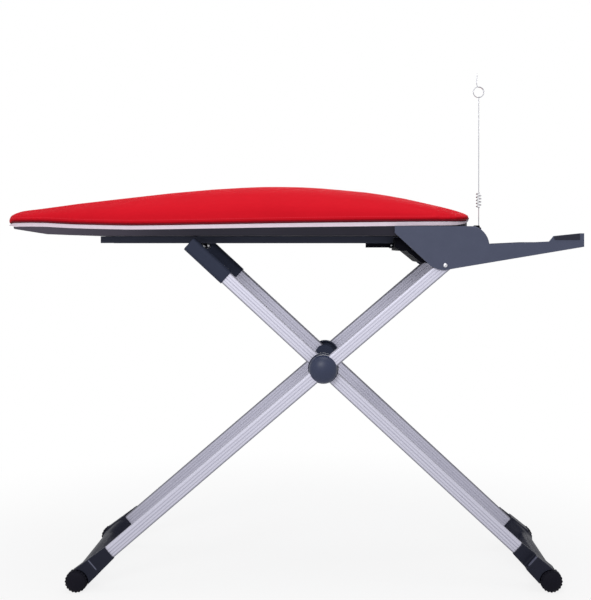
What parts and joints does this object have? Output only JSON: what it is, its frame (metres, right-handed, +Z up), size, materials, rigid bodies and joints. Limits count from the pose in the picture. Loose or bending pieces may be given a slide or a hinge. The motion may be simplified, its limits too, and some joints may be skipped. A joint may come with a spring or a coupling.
{
  "type": "vacuum ironing table",
  "caption": "Folding ironing table with a crowned padded board over a suction pan, an iron rest on two arms, a cord mast and two pairs of crossed oval legs on ribbed foot caps.",
  "frame": {"origin": "centre of the table's overall box, on the floor", "axes": "+X from the nose of the board to the iron rest, +Y across the board, +Z up"},
  "size_m": [1.453, 0.422, 1.264],
  "materials": {
    "cover_cloth": "tightly stretched heat-resistant cloth",
    "pale_felt": "pale felt",
    "zinc_steel": "zinc plated steel",
    "heater_film": "heater film",
    "pan_paint": "dark satin paint",
    "rail_paint": "slate satin paint",
    "slate_plastic": "slate moulded plastic",
    "rubber": "black rubber",
    "black_plastic": "black moulded plastic",
    "chrome_wire": "bright wire",
    "chrome": "chrome plated",
    "anodised": "silver anodised extrusion",
    "foot_plastic": "dark slate moulded plastic"
  },
  "bodies": {
    "board": {"air_gasket": "rubber", "arm_pad": "rubber", "cord_holder_base": "black_plastic", "cover": "cover_cloth", "fan_housing": "black_plastic", "fan_motor": "zinc_steel", "felt_pad": "pale_felt", "heating_mat": "heater_film", "height_rack": "zinc_steel", "housing_lid": "black_plastic", "iron_rest_tray": "slate_plastic", "lead_socket": "black_plastic", "lever_pin": "zinc_steel", "mains_inlet": "black_plastic", "perforated_plate": "zinc_steel", "pivot_bolt_far": "chrome", "pivot_bolt_near": "chrome", "rear_cover": "slate_plastic", "side_cheek_far": "slate_plastic", "side_cheek_near": "slate_plastic", "slide_rail": "rail_paint", "suction_pan": "pan_paint", "switch_frame": "black_plastic"},
    "fan": {"fan_impeller": "black_plastic"},
    "lever": {"release_lever": "black_plastic"},
    "rocker": {"power_rocker": "black_plastic"},
    "cord_mast": {"cord_holder_wire": "chrome_wire"},
    "outer_legs": {"outer_leg_near": "anodised", "outer_leg_far": "anodised", "hub_dome_near": "slate_plastic", "hub_dome_far": "slate_plastic", "hub_pin_near": "zinc_steel", "hub_pin_far": "zinc_steel", "left_foot_bar": "foot_plastic", "left_foot_axle_near": "zinc_steel", "left_foot_axle_far": "zinc_steel"},
    "inner_legs": {"inner_leg_near": "anodised", "inner_leg_far": "anodised", "hub_cup_near": "slate_plastic", "hub_cup_far": "slate_plastic", "hub_disc_near": "slate_plastic", "hub_disc_far": "slate_plastic", "top_sleeve_near": "slate_plastic", "top_sleeve_far": "slate_plastic", "cross_rod": "zinc_steel", "right_foot_bar": "foot_plastic", "right_foot_axle_near": "zinc_steel", "right_foot_axle_far": "zinc_steel"},
    "slider": {"slide_block": "black_plastic"},
    "lock_pin": {"lock_pin": "zinc_steel"},
    "left_cap_near": {"left_foot_cap_near": "rubber"},
    "left_cap_far": {"left_foot_cap_far": "rubber"},
    "right_cap_near": {"right_foot_cap_near": "rubber"},
    "right_cap_far": {"right_foot_cap_far": "rubber"}
  },
  "joints": [
    {"name": "fold", "type": "hinge", "parent": "board", "child": "outer_legs", "pos_m": [0.3909, 0, 0.7913], "axis": [0, 1, 0], "range_deg": [0, 37.5]},
    {"name": "hub_fold", "type": "hinge", "parent": "outer_legs", "child": "inner_legs", "pos_m": [0.09578, 0, 0.53864], "axis": [0, 1, 0], "range_deg": [-72, 0]},
    {"name": "slider_tilt", "type": "hinge", "parent": "inner_legs", "child": "slider", "pos_m": [-0.22635, 0, 0.8371], "axis": [0, 1, 0], "range_deg": [0, 34.5]},
    {"name": "lever_pull", "type": "hinge", "parent": "board", "child": "lever", "pos_m": [0.2669, -0.058, 0.8395], "axis": [0, -1, 0], "range_deg": [0, 20], "stiffness_Nm_per_rad": 0.6},
    {"name": "lock_pin_draw", "type": "slide", "parent": "slider", "child": "lock_pin", "axis": [0, 0, -1], "range_m": [0, 0.0031]},
    {"name": "fan_spin", "type": "hinge", "parent": "board", "child": "fan", "pos_m": [0.3779, 0, 0.84], "axis": [0, 0, 1], "continuous": true},
    {"name": "rocker_press", "type": "hinge", "parent": "board", "child": "rocker", "pos_m": [0.4959, 0.06, 0.818], "axis": [0, 1, 0], "range_deg": [-8, 8]},
    {"name": "mast_flex", "type": "hinge", "parent": "board", "child": "cord_mast", "pos_m": [0.4789, -0.15, 0.878], "axis": [0, 1, 0], "range_deg": [-8, 8], "stiffness_Nm_per_rad": 1.5},
    {"name": "left_cap_near_turn", "type": "hinge", "parent": "outer_legs", "child": "left_cap_near", "pos_m": [-0.50182, -0.19, 0.0258], "axis": [0, 1, 0], "continuous": true},
    {"name": "left_cap_far_turn", "type": "hinge", "parent": "outer_legs", "child": "left_cap_far", "pos_m": [-0.50182, 0.19, 0.0258], "axis": [0, 1, 0], "continuous": true},
    {"name": "right_cap_near_turn", "type": "hinge", "parent": "inner_legs", "child": "right_cap_near", "pos_m": [0.64799, -0.19, 0.0258], "axis": [0, 1, 0], "continuous": true},
    {"name": "right_cap_far_turn", "type": "hinge", "parent": "inner_legs", "child": "right_cap_far", "pos_m": [0.64799, 0.19, 0.0258], "axis": [0, 1, 0], "continuous": true}
  ],
  "couplings": [
    {"joint": "hub_fold", "follows": "fold", "ratio": -1.911},
    {"joint": "slider_tilt", "follows": "fold", "ratio": 0.911},
    {"joint": "lock_pin_draw", "follows": "lever_pull", "m_per_rad": 0.00859}
  ]
}
